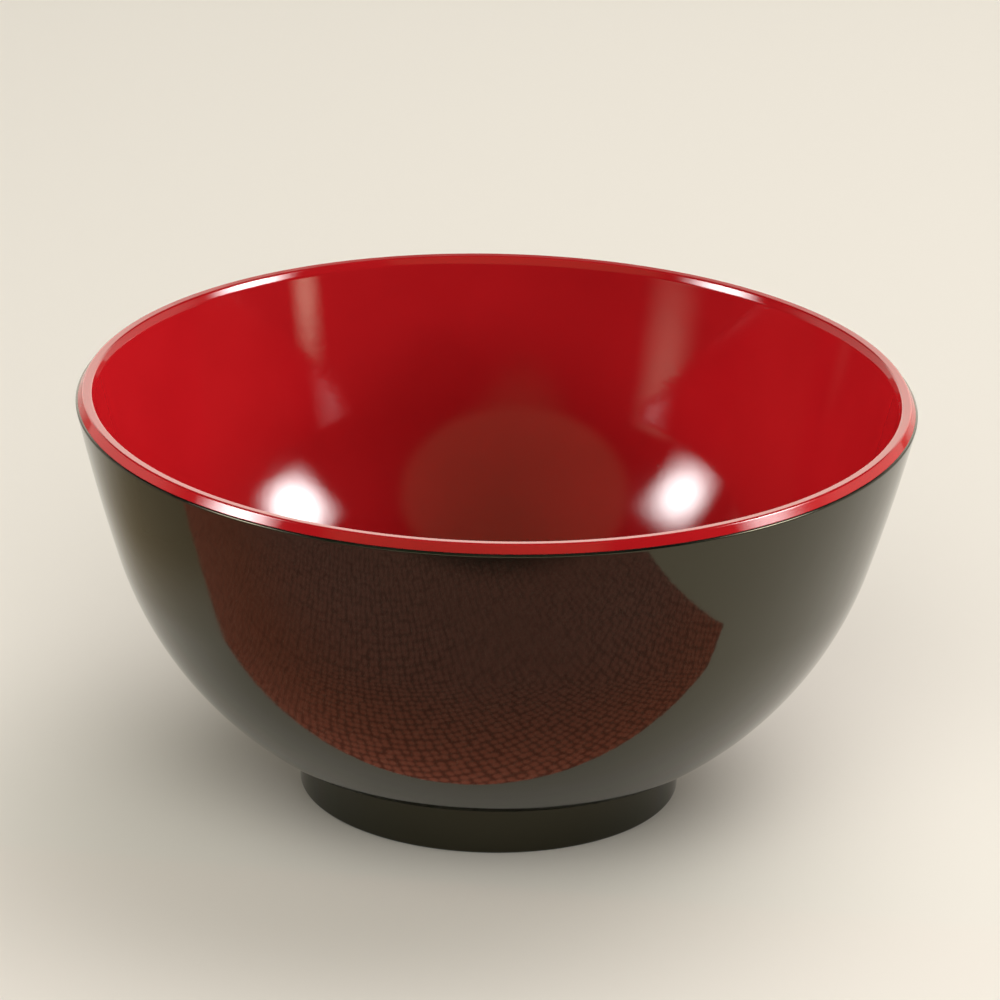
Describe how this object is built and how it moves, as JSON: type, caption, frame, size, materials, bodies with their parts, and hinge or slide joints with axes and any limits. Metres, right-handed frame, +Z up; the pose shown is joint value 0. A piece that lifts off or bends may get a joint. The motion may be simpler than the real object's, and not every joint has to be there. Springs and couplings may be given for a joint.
{
  "type": "rice bowl",
  "caption": "Round two-tone moulded bowl on a foot ring, with a dark outer shell and a bright liner that turns over the lip.",
  "frame": {"origin": "centre of the foot ring's resting plane", "axes": "+Z up along the bowl's axis, out of its mouth; X and Y are free, because the bowl is round"},
  "size_m": [0.115, 0.115, 0.0575],
  "materials": {
    "black_melamine": "high gloss",
    "red_melamine": "high gloss"
  },
  "bodies": {
    "root": {"outer_shell": "black_melamine", "inner_liner": "red_melamine"}
  },
  "joints": []
}
